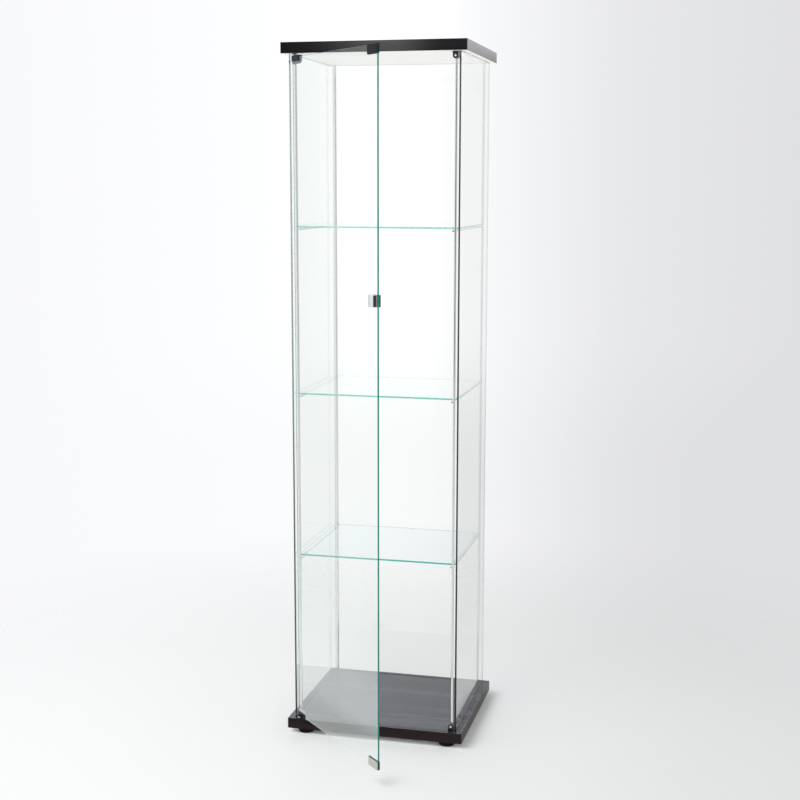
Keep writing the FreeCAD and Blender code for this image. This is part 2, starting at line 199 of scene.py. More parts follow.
window_glow = [(-108.8, 0.05), (-107, 0.8), (-105.7, 3.2), (-104.5, 10.5), (-103.7, 2.8),
               (-102.9, 0.5), (-99, 1.1), (-57, 0.5), (68, 0.5)]
upper_strip = [(76, 1.8), (82, 1.8)]
wall_end = [(152, 0.8), (157, 0.2), (170, 0.2), (175, 0.8), (180, 0.8)]

floor_ring = near_floor + far_floor + [(180, 0.92)]
level_ring = left_room + dark_room + right_room + bright_strip + backdrop + left_wall
upper_ring = upper_room + window_glow + upper_strip + backdrop + wall_end
ceiling_ring = [(-180, 0.95), (60, 0.72), (99, 0.72), (104, 0.92), (110, 1.0), (130, 0.95), (180, 0.95)]
print("studio levels:", len(floor_ring), len(level_ring), len(upper_ring), len(ceiling_ring))


# %% [markdown]
# ## Rings
#
# A picture wrapped round the scene is the usual way to give metal a room to mirror. A colour
# ramp that runs once round the compass does the same with a few numbers, and each of them
# can be turned up or down by itself. A second helper lays one ring over another.

# %% Rings
def cool(level, blue):
    """A level of white with the slight blue of daylight lamps."""
    return ((1 - blue) * level, level, (1 + 3 * blue) * level, 1.0)


def ring(tree, turn, levels, blue):
    """Levels by compass angle, as a colour ramp."""
    ramp = add(tree, "ShaderNodeValToRGB", {"Fac": turn})
    stops = ramp.color_ramp.elements
    stops[0].color = cool(levels[0][1], blue)
    stops[-1].color = cool(levels[-1][1], blue)
    for angle, level in levels[1:-1]:
        stops.new((angle + 180) / 360).color = cool(level, blue)
    return ramp.outputs["Color"]


def over(tree, height, lower, upper, border):
    """One ring over another, with a border from one height to the next."""
    return colour_mix(tree, soft_spread(tree, height, *border), lower, upper)


print("ring helpers ready")

# %% [markdown]
# ## Rooms
#
# The rings are stacked by height, which here is the upward part of a ray's direction: -1 is
# straight down, 1 straight up. Each border runs from one height to another, so that a wide
# one is soft. Two rooms come of it: the whole studio, and a pale one that leaves out the
# upper ring and is nowhere darker than a light grey.

# %% Rooms
floor_border = (-0.2, -0.1)
upper_border = (0.085, 0.088)
ceiling_border = (0.13, 0.2)
wall_blue = 0.005
upper_blue = 0.012
ceiling_blue = 0.03
darkest_seen = (0.74, 0.745, 0.755, 1.0)

world = bpy.data.worlds.new("studio")
world.use_nodes = True
scene.world = world
tree = world.node_tree
tree.nodes.clear()
way = add(tree, "ShaderNodeTexCoord").outputs["Generated"]
axes = add(tree, "ShaderNodeSeparateXYZ", {0: way}).outputs
height = axes["Z"]
compass = maths(tree, "ARCTAN2", axes["Y"], axes["X"])
turn = spread(tree, compass, -math.pi, math.pi, 0, 1)

floor_light = ring(tree, turn, floor_ring, wall_blue)
level_light = ring(tree, turn, level_ring, wall_blue)
upper_light = ring(tree, turn, upper_ring, upper_blue)
ceiling_light = ring(tree, turn, ceiling_ring, ceiling_blue)
walls = over(tree, height, floor_light, level_light, floor_border)
upper_walls = over(tree, height, walls, upper_light, upper_border)
studio = over(tree, height, upper_walls, ceiling_light, ceiling_border)
plain = over(tree, height, walls, ceiling_light, ceiling_border)
pale = colour_mix(tree, 1.0, plain, darkest_seen, blend_type="LIGHTEN")
print("room nodes:", len(tree.nodes))

# %% [markdown]
# ## World
#
# Not every ray should see the same room. Mirrors see the whole studio. The camera, and rays
# that pass through glass, see the pale one, so that the background stays light from every
# side of the case. Everything matt is lit by a plain even white instead, stronger from below,
# as a pale floor that goes on past the picture would light it.

# %% World
overhead = (0.28, 0.37)
overhead_gain = 1.42
horizon = (-0.1, 0.0)
light_from_above = 0.48
light_from_below = 1.17
white = (1, 1, 1, 1)

path = add(tree, "ShaderNodeLightPath").outputs
glossy = path["Is Glossy Ray"]
through = path["Is Transmission Ray"]
mirrored = maths(tree, "SUBTRACT", glossy, through, use_clamp=True)
room = colour_mix(tree, mirrored, pale, studio)
gain = soft_spread(tree, height, *overhead, 1.0, overhead_gain)
seen = add(tree, "ShaderNodeBackground", {"Color": room, "Strength": gain}).outputs[0]
level = soft_spread(tree, height, *horizon, light_from_below, light_from_above)
even = add(tree, "ShaderNodeBackground", {"Color": white, "Strength": level}).outputs[0]
sight = maths(tree, "MAXIMUM", path["Is Camera Ray"], glossy)
sight = maths(tree, "MAXIMUM", sight, through)
add(tree, "ShaderNodeOutputWorld", {"Surface": shader_mix(tree, sight, even, seen)})
print("world nodes:", len(tree.nodes))

# %% [markdown]
# ## Floor
#
# A floor that ends shows an edge, and a very large one shows a horizon. This one is a round
# sheet whose paint fades to clear away from the case, so that floor and backdrop run into
# each other as they do on a paper sweep, while the shadow of the case stays.

# %% Floor
floor_radius = 3.2
floor_sides = 96
floor_drop = 0.0002         # keeps the floor just under the feet
paper_dark = (0.91, 0.918, 0.911, 1)
paper_light = (0.935, 0.943, 0.936, 1)
paper_roughness = 0.6
mottle_scale = 3.0
fade_start = 0.15
fade_end = 1.95

disc = bmesh.new()
bmesh.ops.create_circle(disc, cap_ends=True, radius=floor_radius, segments=floor_sides)
sheet = bpy.data.meshes.new("floor")
disc.to_mesh(sheet)
disc.free()
floor = bpy.data.objects.new("floor", sheet)
floor.location.z = -floor_drop
scene.collection.objects.link(floor)

paper = bpy.data.materials.new("paper_sweep")
paper.use_nodes = True
tree = paper.node_tree
paint = tree.nodes["Principled BSDF"]
paint.inputs["Roughness"].default_value = paper_roughness
spot = add(tree, "ShaderNodeNewGeometry").outputs["Position"]
mottle = add(tree, "ShaderNodeTexNoise", {"Vector": spot, "Scale": mottle_scale, "Detail": 4.0})
tone = colour_mix(tree, mottle.outputs[0], paper_dark, paper_light)
tree.links.new(tone, paint.inputs["Base Color"])
reach = add(tree, "ShaderNodeVectorMath", {0: spot}, operation="LENGTH").outputs["Value"]
fade = soft_spread(tree, reach, fade_start, fade_end)
clear = add(tree, "ShaderNodeBsdfTransparent").outputs[0]
sweep = shader_mix(tree, fade, paint.outputs[0], clear)
tree.links.new(sweep, tree.nodes["Material Output"].inputs["Surface"])
sheet.materials.append(paper)
print("floor radius:", floor_radius)


# %% [markdown]
# ## Lamp
#
# The even world already lights the case from all sides. One large softbox at the front left
# adds direction: it brightens what faces it and lays a soft shadow on the right. Mirrors and
# glass don't see the lamp itself, because the studio already gives them a room to show.

# %% Lamp
lamp_place = (-1.7, -1.9, 3.5)
lamp_aim = (0, 1.2, 0.3)
lamp_side = 3.0
lamp_watts = 120

light = bpy.data.lights.new("softbox_left", "AREA")
light.shape = "RECTANGLE"
light.size = lamp_side
light.size_y = lamp_side
light.energy = lamp_watts
lamp = bpy.data.objects.new("softbox_left", light)
lamp.location = lamp_place
lamp.rotation_euler = (Vector(lamp_aim) - Vector(lamp_place)).to_track_quat("-Z", "Y").to_euler()
lamp.visible_glossy = False
lamp.visible_transmission = False
scene.collection.objects.link(lamp)
print("lamp:", lamp.name, lamp_watts, "W")


# %% [markdown]
# ## Finish helpers
#
# A finish starts from a material with one Principled shader. Its pattern is noise in the
# object's own coordinates, which are metres here, so a scale says how many waves fit into a
# metre. Drawing the noise out along an axis makes grain of it.

# %% Finish helpers
def finish(name, colour, roughness, metallic=0.0):
    """A new material with its tree and its Principled shader."""
    material = bpy.data.materials.new(name)
    material.use_nodes = True
    tree = material.node_tree
    shader = tree.nodes["Principled BSDF"]
    shader.inputs["Base Color"].default_value = (*colour, 1.0)
    shader.inputs["Roughness"].default_value = roughness
    shader.inputs["Metallic"].default_value = metallic
    return material, tree, shader


def speckle(tree, scale, stretch=(1, 1, 1), detail=3.0):
    """Noise with so many waves to the metre, drawn out where stretch is below one."""
    where = add(tree, "ShaderNodeTexCoord").outputs["Object"]
    drawn = add(tree, "ShaderNodeMapping", {"Vector": where, "Scale": stretch}).outputs[0]
    return add(tree, "ShaderNodeTexNoise", {"Vector": drawn, "Scale": scale, "Detail": detail}).outputs[0]


def between(tree, amount, low, high, reach=0.2):
    """A number that runs from low to high as an output goes from reach below a half to reach above."""
    return spread(tree, amount, 0.5 - reach, 0.5 + reach, low, high)


def shades(tree, amount, dark, light, reach=0.2):
    """A colour that runs from dark to light in the same way."""
    return colour_mix(tree, between(tree, amount, 0, 1, reach), (*dark, 1.0), (*light, 1.0))


def bumps(tree, shader, height, strength, depth):
    """Fine relief on a shader."""
    relief = {"Height": height, "Strength": strength, "Distance": depth}
    tree.links.new(add(tree, "ShaderNodeBump", relief).outputs[0], shader.inputs["Normal"])


print("finish helpers ready")

# %% [markdown]
# ## Laminate
#
# The boards are chipboard under a printed laminate: nearly black, with a fine brown grain
# along the board and a satin face that mirrors the backdrop at a slant. A wave texture gives
# rings, which suit a plank; noise drawn out along one axis gives the long streaks of a
# print. Front and ends carry edge bands with less gloss, whose streaks follow each edge. The
# two boards get lit and shaded copies of one edge band: the front band of the base is painted
# lighter and browner as painted light, that of the top board darker as painted shade, and the
# ends of the base mirror less than those of the top board.
# The underside of each board has the plain off-white backing that shows under the top of the
# real case.

# %% Laminate
grain_stretch = 0.025
band_scale = 24
pore_scale = 420
pore_share = 0.15
grain_reach = 0.13
pore_relief = 0.012
pore_depth = 0.0004
face_satin = (0.12, 0.2)
front_satin = (0.06, 0.1)
end_satin = (0.12, 0.18)
backing_dark = (0.865, 0.86, 0.835)
backing_light = (0.905, 0.9, 0.875)
backing_roughness = (0.35, 0.45)
fleck_scale = 180


def laminate(name, along, dark, light, gloss, roughness):
    """Dark printed wood grain, with its streaks along X or along Y."""
    material, tree, shader = finish(name, light, roughness[0])
    long_way = {"x": (grain_stretch, 1, 1), "y": (1, grain_stretch, 1)}[along]
    bands = speckle(tree, band_scale, long_way, 3)
    pores = speckle(tree, pore_scale, long_way, 2)
    both = add(tree, "ShaderNodeMix", {0: pore_share, 2: bands, 3: pores}).outputs[0]
    tree.links.new(shades(tree, both, dark, light, grain_reach), shader.inputs["Base Color"])
    tree.links.new(between(tree, both, *roughness), shader.inputs["Roughness"])
    shader.inputs["Specular IOR Level"].default_value = gloss
    bumps(tree, shader, pores, pore_relief, pore_depth)
    return material


long_laminate = laminate("long_laminate", "x", (0.002, 0.001, 0.001), (0.060, 0.054, 0.062), 0.35, face_satin)
# lit and shaded copies of one edge band: painted light on the base's front, painted shade on the top's
lit_base_band = laminate("lit_base_band", "x", (0.006, 0.003, 0.004), (0.035, 0.017, 0.020), 0.13, front_satin)
shaded_upper_band = laminate("shaded_upper_band", "x", (0.002, 0.0015, 0.002), (0.008, 0.006, 0.008), 0.26, front_satin)
base_end = laminate("base_end", "y", (0.008, 0.002, 0.003), (0.034, 0.014, 0.018), 0.035, end_satin)
upper_end = laminate("upper_end", "y", (0.012, 0.003, 0.006), (0.036, 0.012, 0.024), 0.115, end_satin)

backing, tree, shader = finish("backing", backing_light, backing_roughness[0])
fleck = speckle(tree, fleck_scale)
tree.links.new(shades(tree, fleck, backing_dark, backing_light), shader.inputs["Base Color"])
tree.links.new(between(tree, fleck, *backing_roughness), shader.inputs["Roughness"])
print("laminates:", long_laminate.name, lit_base_band.name, shaded_upper_band.name, base_end.name, upper_end.name)


# %% [markdown]
# ## Edges of the glass
#
# Faces of a pane are polished and its edges are ground, and a value on each face, called
# ground, tells the shader which is which. A ground edge is rough and has a green tint of its
# own, and that tint is painted darker towards the floor as painted shade, where less light
# gets into the pane. A second value, covered, marks the rim between the plates of a clip,
# which is painted nearly black there as painted shade. A second material for the edges would
# do as well; one shader keeps face and edge in one place.

# %% Edges of the glass
# the rim tint runs from the low tint to the high one between these heights; the darkening towards the floor
# is painted shade
painted_shade_heights = (0.1, 1.5)
face_tint = (0.985, 0.993, 0.978)
# the rim between the plates of a clip is painted nearly black: painted shade
painted_clip_shade = (0.002, 0.014, 0.011, 1.0)
chip_scale = 300
chip_dip = 0.85


def height_of(tree):
    """The height of a point above the floor at rest."""
    where = add(tree, "ShaderNodeTexCoord").outputs["Object"]
    return add(tree, "ShaderNodeSeparateXYZ", {0: where}).outputs["Z"]


def mark(tree, name):
    """A value that the mesh holds for each face."""
    return add(tree, "ShaderNodeAttribute", attribute_name=name).outputs["Fac"]


def edge_colour(tree, ground, low_tint, high_tint):
    """A pane's colour: clear on its faces, with painted shade on its edges, darker towards the floor and
    nearly black inside clips.
    """
    rise = soft_spread(tree, height_of(tree), *painted_shade_heights)
    edge_tint = colour_mix(tree, rise, (*low_tint, 1.0), (*high_tint, 1.0))
    tint = colour_mix(tree, ground, (*face_tint, 1.0), edge_tint)
    return colour_mix(tree, mark(tree, "covered"), tint, painted_clip_shade)


def edge_frost(tree, ground, roughness):
    """A pane's roughness: none on its faces, slightly uneven on its edges."""
    chips = between(tree, speckle(tree, chip_scale), chip_dip, 1.0)
    return maths(tree, "MULTIPLY", maths(tree, "MULTIPLY", ground, chips), roughness)


print("edge helpers ready")


# %% [markdown]
# ## Sheen and clear solids
#
# The lower end of the door mirrors the pale floor far more than its upper end mirrors the
# room. So the door gets a sheen at a slant, which is strongest a little above the floor and
# fades out further up. The second helper here is for all clear solids: light on its way to
# matt things passes straight through them, so that the case casts no black shadow, and what
# is seen through them loses a little colour on its way.

# %% Sheen and clear solids
sheen_colour = (0.93, 1, 1, 1)
sheen_slant = (0.25, 0.55)
sheen_rise = (0.09, 0.15)
sheen_gain = (0.66, 1.15)
sheen_end = (0.2, 0.4)


def slanting_sheen(tree, amount, ground):
    """How much a polished face mirrors besides: more at a slant, and only near the floor."""
    facing = add(tree, "ShaderNodeLayerWeight", {"Blend": 0.5}).outputs["Facing"]
    slant = spread(tree, facing, *sheen_slant, 0.0, amount)
    height = height_of(tree)
    rise = soft_spread(tree, height, *sheen_rise, *sheen_gain)
    low = soft_spread(tree, height, *sheen_end, 1.0, 0.0)
    polished = maths(tree, "SUBTRACT", 1.0, ground)
    share = maths(tree, "MULTIPLY", slant, maths(tree, "MULTIPLY", rise, low))
    return maths(tree, "MULTIPLY", share, polished)


def clear_solid(tree, face, straight, depth_colour, density):
    """A clear solid with a given face, which absorbs some light in its depth."""
    path = add(tree, "ShaderNodeLightPath").outputs
    passing = maths(tree, "MAXIMUM", path["Is Shadow Ray"], path["Is Diffuse Ray"])
    through = add(tree, "ShaderNodeBsdfTransparent", {"Color": straight}).outputs[0]
    depth = {"Color": depth_colour, "Density": density}
    absorbed = add(tree, "ShaderNodeVolumeAbsorption", depth).outputs[0]
    output = tree.nodes["Material Output"]
    tree.links.new(shader_mix(tree, passing, face, through), output.inputs["Surface"])
    tree.links.new(absorbed, output.inputs["Volume"])


print("sheen and clear solids ready")

# %% [markdown]
# ## Glass
#
# Real float glass is green all through: it looks clear through 4 mm and green through the
# long way inside, from edge to edge. So each pane is a solid that absorbs a little red. The
# fixed panels, the shelves and the door get a glass each, and the left panel one more: a lit
# copy of the panel glass, whose front edge is painted lighter at the top than the right one's.

# %% Glass
panel_ior = 1.36
shelf_ior = 1.45
door_ior = 1.5
panel_depth = ((0.6, 0.8, 0.78, 1), 3)
panel_low = (0.01, 0.015, 0.015)
panel_roughness = 0.2
green_depth = ((0.3, 0.93, 0.88, 1), 4)
green_roughness = 0.25
straight_through = (0.995, 0.997, 0.996, 1)


def glass(name, ior, low_tint, high_tint, roughness, depth, scatter=0.0, sheen=0.0):
    """Float glass: polished faces, ground edges that may scatter light, green in depth."""
    material, tree, shader = finish(name, face_tint, 0.0)
    shader.inputs["IOR"].default_value = ior
    shader.inputs["Transmission Weight"].default_value = 1.0
    ground = mark(tree, "ground")
    tree.links.new(edge_colour(tree, ground, low_tint, high_tint), shader.inputs["Base Color"])
    tree.links.new(edge_frost(tree, ground, roughness), shader.inputs["Roughness"])
    if scatter:
        clearness = spread(tree, ground, 0, 1, 1.0, 1.0 - scatter)
        tree.links.new(clearness, shader.inputs["Transmission Weight"])
    face = shader.outputs[0]
    if sheen:
        mirror = add(tree, "ShaderNodeBsdfGlossy", {"Color": sheen_colour, "Roughness": 0.0}).outputs[0]
        face = shader_mix(tree, slanting_sheen(tree, sheen, ground), face, mirror)
    clear_solid(tree, face, straight_through, *depth)
    return material


# each glass takes a rim tint near the floor and one higher up; the darker low tint is painted shade
panel_glass = glass("panel_glass", panel_ior, panel_low, (0.10, 0.10, 0.12), panel_roughness, panel_depth)
# lit copy of the panel glass: the pale upper tint of its edge is painted light
lit_left_panel = glass("lit_left_panel", panel_ior, panel_low, (0.72, 0.73, 0.76), panel_roughness, panel_depth)
shelf_glass = glass("shelf_glass", shelf_ior, (0.08, 0.55, 0.44), (0.62, 0.78, 0.72), green_roughness,
                    green_depth, scatter=0.25)
door_glass = glass("door_glass", door_ior, (0.005, 0.31, 0.24), (0.005, 0.32, 0.26), green_roughness,
                   green_depth, scatter=0.65, sheen=0.25)
print("glass:", panel_glass.name, lit_left_panel.name, shelf_glass.name, door_glass.name)


# %% [markdown]
# ## Metals
#
# Chrome needs three things: a pale metallic colour, very little roughness, and something to
# mirror. A perfect mirror looks made up, so the roughness wanders a little, as it does where
# a polished bar has been handled. Rolled or brushed steel gets the same treatment with noise
# drawn out along its length.

# %% Metals
cloud_dip = 0.92
metal_depth = 0.0002


def metal(name, colour, smooth, dull, scale, stretch=(1, 1, 1), relief=0.0):
    """Bare or plated metal whose polish wanders between smooth and dull."""
    material, tree, shader = finish(name, colour, smooth, 1.0)
    cloud = speckle(tree, scale, stretch, 4)
    darker = tuple(cloud_dip * channel for channel in colour)
    tree.links.new(shades(tree, cloud, darker, colour), shader.inputs["Base Color"])
    tree.links.new(between(tree, cloud, smooth, dull), shader.inputs["Roughness"])
    if relief:
        bumps(tree, shader, cloud, relief, metal_depth)
    return material


post_chrome = metal("post_chrome", (0.80, 0.79, 0.79), 0.05, 0.10, 60, (1, 1, 0.1))
rung_chrome = metal("rung_chrome", (0.74, 0.74, 0.75), 0.08, 0.14, 90, (1, 0.1, 1))
handle_chrome = metal("handle_chrome", (0.80, 0.79, 0.80), 0.04, 0.08, 120)
magnet_plating = metal("magnet_plating", (0.82, 0.80, 0.76), 0.12, 0.22, 400)
strike_steel = metal("strike_steel", (0.60, 0.59, 0.55), 0.16, 0.26, 500, (0.2, 0.2, 1), 0.05)
strike_black = metal("strike_black", (0.034, 0.034, 0.04), 0.16, 0.26, 500, (0.2, 0.2, 1), 0.05)
screw_steel = metal("screw_steel", (0.60, 0.60, 0.59), 0.25, 0.40, 500, relief=0.1)
set_screw_steel = metal("set_screw_steel", (0.48, 0.48, 0.48), 0.25, 0.40, 500, relief=0.1)
pin_steel = metal("pin_steel", (0.30, 0.30, 0.31), 0.22, 0.35, 500, (1, 1, 0.2), 0.05)
print("materials so far:", len(bpy.data.materials))


# %% [markdown]
# ## Plastics and rubber
#
# Moulded pieces carry the fine grain of their mould. It is a bump too small to see one by
# one, but it breaks up the gloss. Hard black pieces are glossier than rubber.

# %% Plastics and rubber
mould_depth = 0.0002
cap_shades = ((0.010, 0.008, 0.008), (0.016, 0.012, 0.012))
nylon_shades = ((0.62, 0.62, 0.60), (0.72, 0.72, 0.69))
clip_shades = ((0.002, 0.002, 0.004), (0.004, 0.004, 0.008))


def moulded(name, dark, light, roughness, scale, relief, gloss=0.5):
    """Moulded plastic or rubber with a fine grain."""
    material, tree, shader = finish(name, light, roughness[0])
    grain = speckle(tree, scale, detail=4)
    tree.links.new(shades(tree, grain, dark, light), shader.inputs["Base Color"])
    tree.links.new(between(tree, grain, *roughness), shader.inputs["Roughness"])
    shader.inputs["Specular IOR Level"].default_value = gloss
    bumps(tree, shader, grain, relief, mould_depth)
    return material


def black(level):
    """Two shades of a black with a trace of blue."""
    return (0.7 * level, 0.7 * level, 0.72 * level), (level, level, 1.03 * level)


foot_plastic = moulded("foot_plastic", *black(0.002), (0.6, 0.75), 900, 0.25, gloss=0.15)
cap_plastic = moulded("cap_plastic", *cap_shades, (0.35, 0.5), 900, 0.15)
bush_plastic = moulded("bush_plastic", *black(0.012), (0.4, 0.5), 900, 0.15)
washer_plastic = moulded("washer_plastic", *nylon_shades, (0.35, 0.5), 700, 0.15)
catch_plastic = moulded("catch_plastic", *black(0.004), (0.16, 0.26), 700, 0.08)
clip_black = moulded("clip_black", *clip_shades, (0.14, 0.22), 600, 0.06, gloss=0.25)
strip_rubber = moulded("strip_rubber", *black(0.012), (0.25, 0.35), 800, 0.05)
strike_rubber = moulded("strike_rubber", *black(0.010), (0.5, 0.65), 800, 0.3)
handle_rubber = moulded("handle_rubber", *black(0.014), (0.5, 0.65), 800, 0.3)
print("materials so far:", len(bpy.data.materials))


# %% [markdown]
# ## Soft clear pads
#
# The pads under the shelves and in the hinges are soft clear plastic, slightly frosted. A
# thin coat of white would look like milk, so they are clear solids like the glass, only
# rougher and with a tint of their own. The two hinge pads are alike, but the upper one gets a
# dark, smoky copy as painted shade and the lower one stays pale.

# %% Soft clear pads
pad_straight = (0.9, 0.92, 0.9, 1)
frost_scale = 500


def soft_clear(name, colour, roughness, ior, clearness, depth_colour, density):
    """Clear soft plastic, slightly frosted."""
    material, tree, shader = finish(name, colour, roughness[0])
    frost = speckle(tree, frost_scale)
    tree.links.new(between(tree, frost, *roughness), shader.inputs["Roughness"])
    shader.inputs["Transmission Weight"].default_value = clearness
    shader.inputs["IOR"].default_value = ior
    clear_solid(tree, shader.outputs[0], pad_straight, depth_colour, density)
    return material


clear_pad = soft_clear("clear_pad", (0.97, 0.98, 0.98), (0.08, 0.2), 1.42, 1.0, (0.6, 0.72, 0.72, 1), 25)
hinge_pad = soft_clear("hinge_pad", (0.90, 0.94, 0.90), (0.2, 0.3), 1.25, 0.75, (0.5, 0.68, 0.5, 1), 1)
# shaded copy of the hinge pad: its dark smoky tint is painted shade
shaded_upper_pad = soft_clear("shaded_upper_pad", (0.38, 0.43, 0.52), (0.15, 0.25), 1.35, 0.85, (0.4, 0.45, 0.55, 1), 60)
print("pads:", clear_pad.name, hinge_pad.name, shaded_upper_pad.name)

# %% [markdown]
# ## Mesh helpers
#
# The frame's meshes come in as loose triangles with hard edges. Nothing real has an edge
# without a width: even a sharp one catches a thin line of light. So each piece is a copy of
# its node with the triangles joined into whole faces and the outer edges eased. A Bevel
# modifier would do that too; here it is done in the mesh, which leaves the choice of edges
# to a short test.

# %% Mesh helpers
MM = 0.001
weld = 0.001 * MM
flat_angle = math.radians(1)
sharp_angle = math.radians(40)


def copied(node):
    """A node's mesh with its seams closed and its flat faces whole."""
    shape = bmesh.new()
    shape.from_mesh(frame["nodes"][node].data)
    bmesh.ops.remove_doubles(shape, verts=shape.verts, dist=weld)
    bmesh.ops.dissolve_limit(shape, angle_limit=flat_angle, verts=shape.verts, edges=shape.edges)
    shape.normal_update()
    return shape


def sharp_edges(shape, test=None):
    """The outward edges of a mesh, or those of them that pass a test."""
    edges = [e for e in shape.edges if e.is_manifold and e.is_convex and e.calc_face_angle() > sharp_angle]
    return [e for e in edges if test is None or test(e)]


def ease(shape, edges, width, segments=2):
    """Edges cut back to a narrow round."""
    bmesh.ops.bevel(shape, geom=edges, offset=width, segments=segments, profile=0.5,
                    affect="EDGES", clamp_overlap=True)
    shape.normal_update()


print("edge easing ready, sharp from", round(math.degrees(sharp_angle)), "degrees")


# %% [markdown]
# ## Pieces
#
# A finished mesh becomes a piece that stands for its node, moves with the same body and
# takes the finishes it is given. Smooth shading alone would lay a shadow across a flat face
# beside a rounded edge, and flat shading would show the facets of round bars. A Weighted
# Normal modifier gives both: large faces stay flat and narrow rounds stay round.

# %% Pieces
def place(shape, node, word, materials):
    """A mesh as a new piece that stands for a node and rides with it."""
    mesh = bpy.data.meshes.new(f"{node}_{word}")
    shape.to_mesh(mesh)
    shape.free()
    for material in materials:
        mesh.materials.append(material)
    piece = bpy.data.objects.new(f"{node}_{word}", mesh)
    scene.collection.objects.link(piece)
    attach(piece, frame["nodes"][node]["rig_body"])
    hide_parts(node)
    return piece


def smooth(piece):
    """Round faces shaded round and flat ones flat, with corners kept."""
    piece.data.shade_smooth()
    piece.data.set_sharp_from_angle(angle=sharp_angle)
    normals = piece.modifiers.new("flat_faces_flat", "WEIGHTED_NORMAL")
    normals.weight = 100
    normals.keep_sharp = True
    return piece


print("piece helpers ready")


# %% [markdown]
# ## Boards
#
# Each board is a plain slab with grooves for the glass and holes for screws and bushes, and
# the frame has all of these. What the eye reads is the slab's outline, so its twelve outer
# edges are eased by less than half a millimetre, as a trimmed edge band is, while grooves
# and holes stay sharp. Faces take their finish by the way they look: front, back and ends get
# their edge bands, the underside the pale backing, everything else the long grain.

# %% Boards
board_ease = 0.4 * MM
flush_gap = 0.01 * MM
level_gap = 0.1 * MM
facing = 0.8


def on_outline(node):
    """A test for edges where two outer faces of a node's box meet."""
    low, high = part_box(node)

    def test(edge):
        ends = [v.co for v in edge.verts]
        sides = [(i, side[i]) for i in range(3) for side in (low, high)]
        flush = [all(abs(end[i] - value) < flush_gap for end in ends) for i, value in sides]
        return sum(flush) == 2
    return test


def board(node, end_band, front_band):
    """A board with eased edges, banded ends and a pale underside."""
    shape = copied(node)
    ease(shape, sharp_edges(shape, on_outline(node)), board_ease)
    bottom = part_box(node)[0][2]
    for face in shape.faces:
        if abs(face.normal.x) > facing:
            face.material_index = 1
        elif abs(face.normal.y) > facing:
            face.material_index = 2
        elif face.normal.z < -facing and abs(face.calc_center_median().z - bottom) < level_gap:
            face.material_index = 3
    return place(shape, node, "slab", [long_laminate, end_band, front_band, backing])


for node, *bands in (("base_board", base_end, lit_base_band), ("top_board", upper_end, shaded_upper_band)):
    slab = smooth(board(node, *bands))
    print(slab.name, "faces:", len(slab.data.polygons))


# %% [markdown]
# ## Rims of the panes
#
# The glass needs to know which faces are ground and which of those a clip covers. Faces can
# be picked by hand, but a new frame would undo that, so both values are worked out from the
# way each face looks and from the boxes of the clips. The ends of the shelves and the upper
# and lower edge of the door are polished, and their lighter line against the rest of their
# rims is partly a smoother edge and partly painted reflection.

# %% Rims of the panes
across_limit = 0.99
along_limit = 0.6
# edges along the chosen axis keep only this share of the ground tint: a smoother edge, and a lighter line
# that is painted reflection
polish_and_sheen_share = 0.12


def inside(point, cover):
    """True for a point in a box, or less than a millimetre outside."""
    return all(low - MM < value < high + MM for low, value, high in zip(cover[0], point, cover[1]))


def mark_rim(piece, across, rim, axis, covers):
    """Tells the shader how far each face is ground, from 0 to 1, and which rim faces clips cover."""
    ground = []
    covered = []
    for face in piece.data.polygons:
        on_rim = abs(face.normal.dot(across)) < across_limit
        polished = axis is not None and abs(face.normal[axis]) >= along_limit
        share = polish_and_sheen_share * rim if polished else rim
        ground.append(share if on_rim else 0.0)
        covered.append(float(on_rim and any(inside(face.center, cover) for cover in covers)))
    for name, values in (("ground", ground), ("covered", covered)):
        piece.data.attributes.new(name, "FLOAT", "FACE").data.foreach_set("value", values)


print("rim helpers ready")


# %% [markdown]
# ## Panes
#
# A pane is a thin block whose two faces are flat and whose rim is ground with a small
# chamfer. Glass bends light by its normals, so a smooth-shaded chamfer would turn the whole
# pane into a lens: every face stays flat-shaded. The faces also stand off by a few
# hundredths of a millimetre, because a pane that shares a face with its rubber strip gives
# the renderer two surfaces in one place.

# %% Panes
chamfer = 0.4 * MM
stand_off = 0.03 * MM
X_AXIS = 0
Z_AXIS = 2


def pane(node, material, rim, axis=None, clips=()):
    """A pane with a chamfered rim, painted dark inside clips as painted shade. Edges that face along an axis
    are polished, with a lighter rim that is partly painted reflection.
    """
    shape = copied(node)
    across = max(shape.faces, key=lambda face: face.calc_area()).normal.copy()
    covers = [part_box(clip) for clip in clips]
    for level in [corner[2] for cover in covers for corner in cover]:
        whole = shape.verts[:] + shape.edges[:] + shape.faces[:]
        bmesh.ops.bisect_plane(shape, geom=whole, plane_co=(0, 0, level), plane_no=(0, 0, 1))
    ease(shape, sharp_edges(shape), chamfer, 1)
    middle = sum(v.co.dot(across) for v in shape.verts) / len(shape.verts)
    for v in shape.verts:
        v.co -= across * math.copysign(stand_off, v.co.dot(across) - middle)
    shape.normal_update()
    piece = place(shape, node, "pane", [material])
    piece.data.polygons.foreach_set("use_smooth", [False] * len(piece.data.polygons))
    mark_rim(piece, across, rim, axis, covers)
    return piece


door_clips = ("strike_clip_lower", "strike_clip_upper", "door_handle")
pane_of = {
    # the left pane takes the lit copy, with painted light on its front edge
    "left_glass": (lit_left_panel, 0.9),
    "right_glass": (panel_glass, 1.0),
    "back_glass": (panel_glass, 0.35),
    "shelf_lower": (shelf_glass, 1.0, X_AXIS),
    "shelf_middle": (shelf_glass, 1.0, X_AXIS),
    "shelf_upper": (shelf_glass, 1.0, X_AXIS),
    "door_glass": (door_glass, 1.0, Z_AXIS, door_clips),
}
panes = [pane(node, *looks) for node, looks in pane_of.items()]
print("panes:", len(panes))


